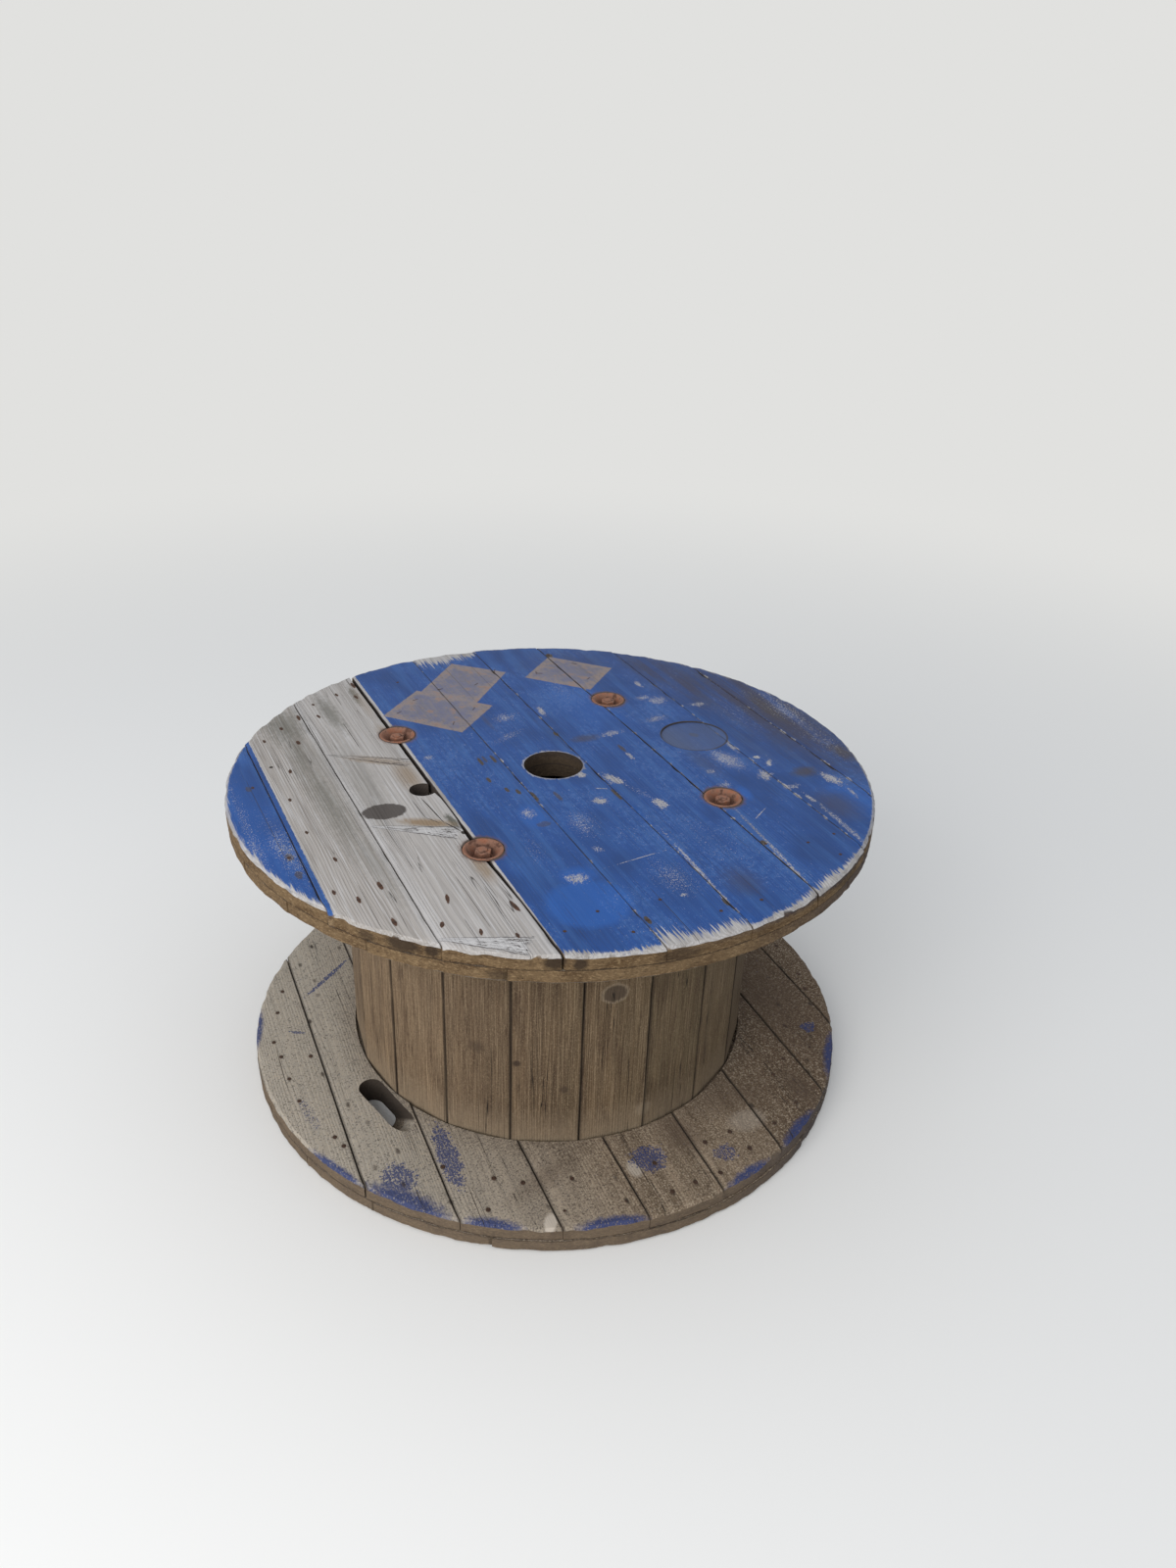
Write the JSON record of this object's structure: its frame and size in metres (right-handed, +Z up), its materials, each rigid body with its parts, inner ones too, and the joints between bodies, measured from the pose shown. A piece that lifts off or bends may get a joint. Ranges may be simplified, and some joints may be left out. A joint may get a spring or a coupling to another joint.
{
  "type": "wooden cable drum",
  "caption": "Small wooden cable drum with plied board flanges bolted to a barrel of staves, a spindle bore, drive holes and a cable entry slot.",
  "frame": {"origin": "on the drum's axis, in the plane that the bottom flange stands on", "axes": "+Z up the axis to the painted flange, X across the face boards, with the drive holes at -X, Y along the face boards"},
  "size_m": [0.9, 0.9, 0.4635],
  "materials": {
    "top_face_boards": "worn cobalt blue paint on weathered pine, three boards of it bare or half bare",
    "top_winding_boards": "rough weathered softwood",
    "bottom_winding_boards": "grey-brown weathered softwood with sand in the grain",
    "bottom_face_boards": "weathered softwood, damp and dirty",
    "staves": "brown weathered softwood, turning olive",
    "rusty_steel": "rusted pressed steel"
  },
  "bodies": {
    "root": {"top_outer_board_1": "top_face_boards", "top_outer_board_2": "top_face_boards", "top_outer_board_3": "top_face_boards", "top_outer_board_4": "top_face_boards", "top_outer_board_5": "top_face_boards", "top_outer_board_6": "top_face_boards", "top_outer_board_7": "top_face_boards", "top_outer_board_8": "top_face_boards", "top_outer_board_9": "top_face_boards", "top_inner_board_1": "top_winding_boards", "top_inner_board_2": "top_winding_boards", "top_inner_board_3": "top_winding_boards", "top_inner_board_4": "top_winding_boards", "top_inner_board_5": "top_winding_boards", "top_inner_board_6": "top_winding_boards", "top_inner_board_7": "top_winding_boards", "top_inner_board_8": "top_winding_boards", "top_inner_board_9": "top_winding_boards", "bottom_inner_board_1": "bottom_winding_boards", "bottom_inner_board_2": "bottom_winding_boards", "bottom_inner_board_3": "bottom_winding_boards", "bottom_inner_board_4": "bottom_winding_boards", "bottom_inner_board_5": "bottom_winding_boards", "bottom_inner_board_6": "bottom_winding_boards", "bottom_inner_board_7": "bottom_winding_boards", "bottom_inner_board_8": "bottom_winding_boards", "bottom_inner_board_9": "bottom_winding_boards", "bottom_outer_board_1": "bottom_face_boards", "bottom_outer_board_2": "bottom_face_boards", "bottom_outer_board_3": "bottom_face_boards", "bottom_outer_board_4": "bottom_face_boards", "bottom_outer_board_5": "bottom_face_boards", "bottom_outer_board_6": "bottom_face_boards", "bottom_outer_board_7": "bottom_face_boards", "bottom_outer_board_8": "bottom_face_boards", "bottom_outer_board_9": "bottom_face_boards", "stave_1": "staves", "stave_2": "staves", "stave_3": "staves", "stave_4": "staves", "stave_5": "staves", "stave_6": "staves", "stave_7": "staves", "stave_8": "staves", "stave_9": "staves", "stave_10": "staves", "stave_11": "staves", "stave_12": "staves", "stave_13": "staves", "stave_14": "staves", "stave_15": "staves", "stave_16": "staves", "stave_17": "staves", "stave_18": "staves", "stave_19": "staves", "stave_20": "staves", "tie_bolts": "rusty_steel", "hex_nuts": "rusty_steel", "dished_washers": "rusty_steel"}
  },
  "joints": []
}
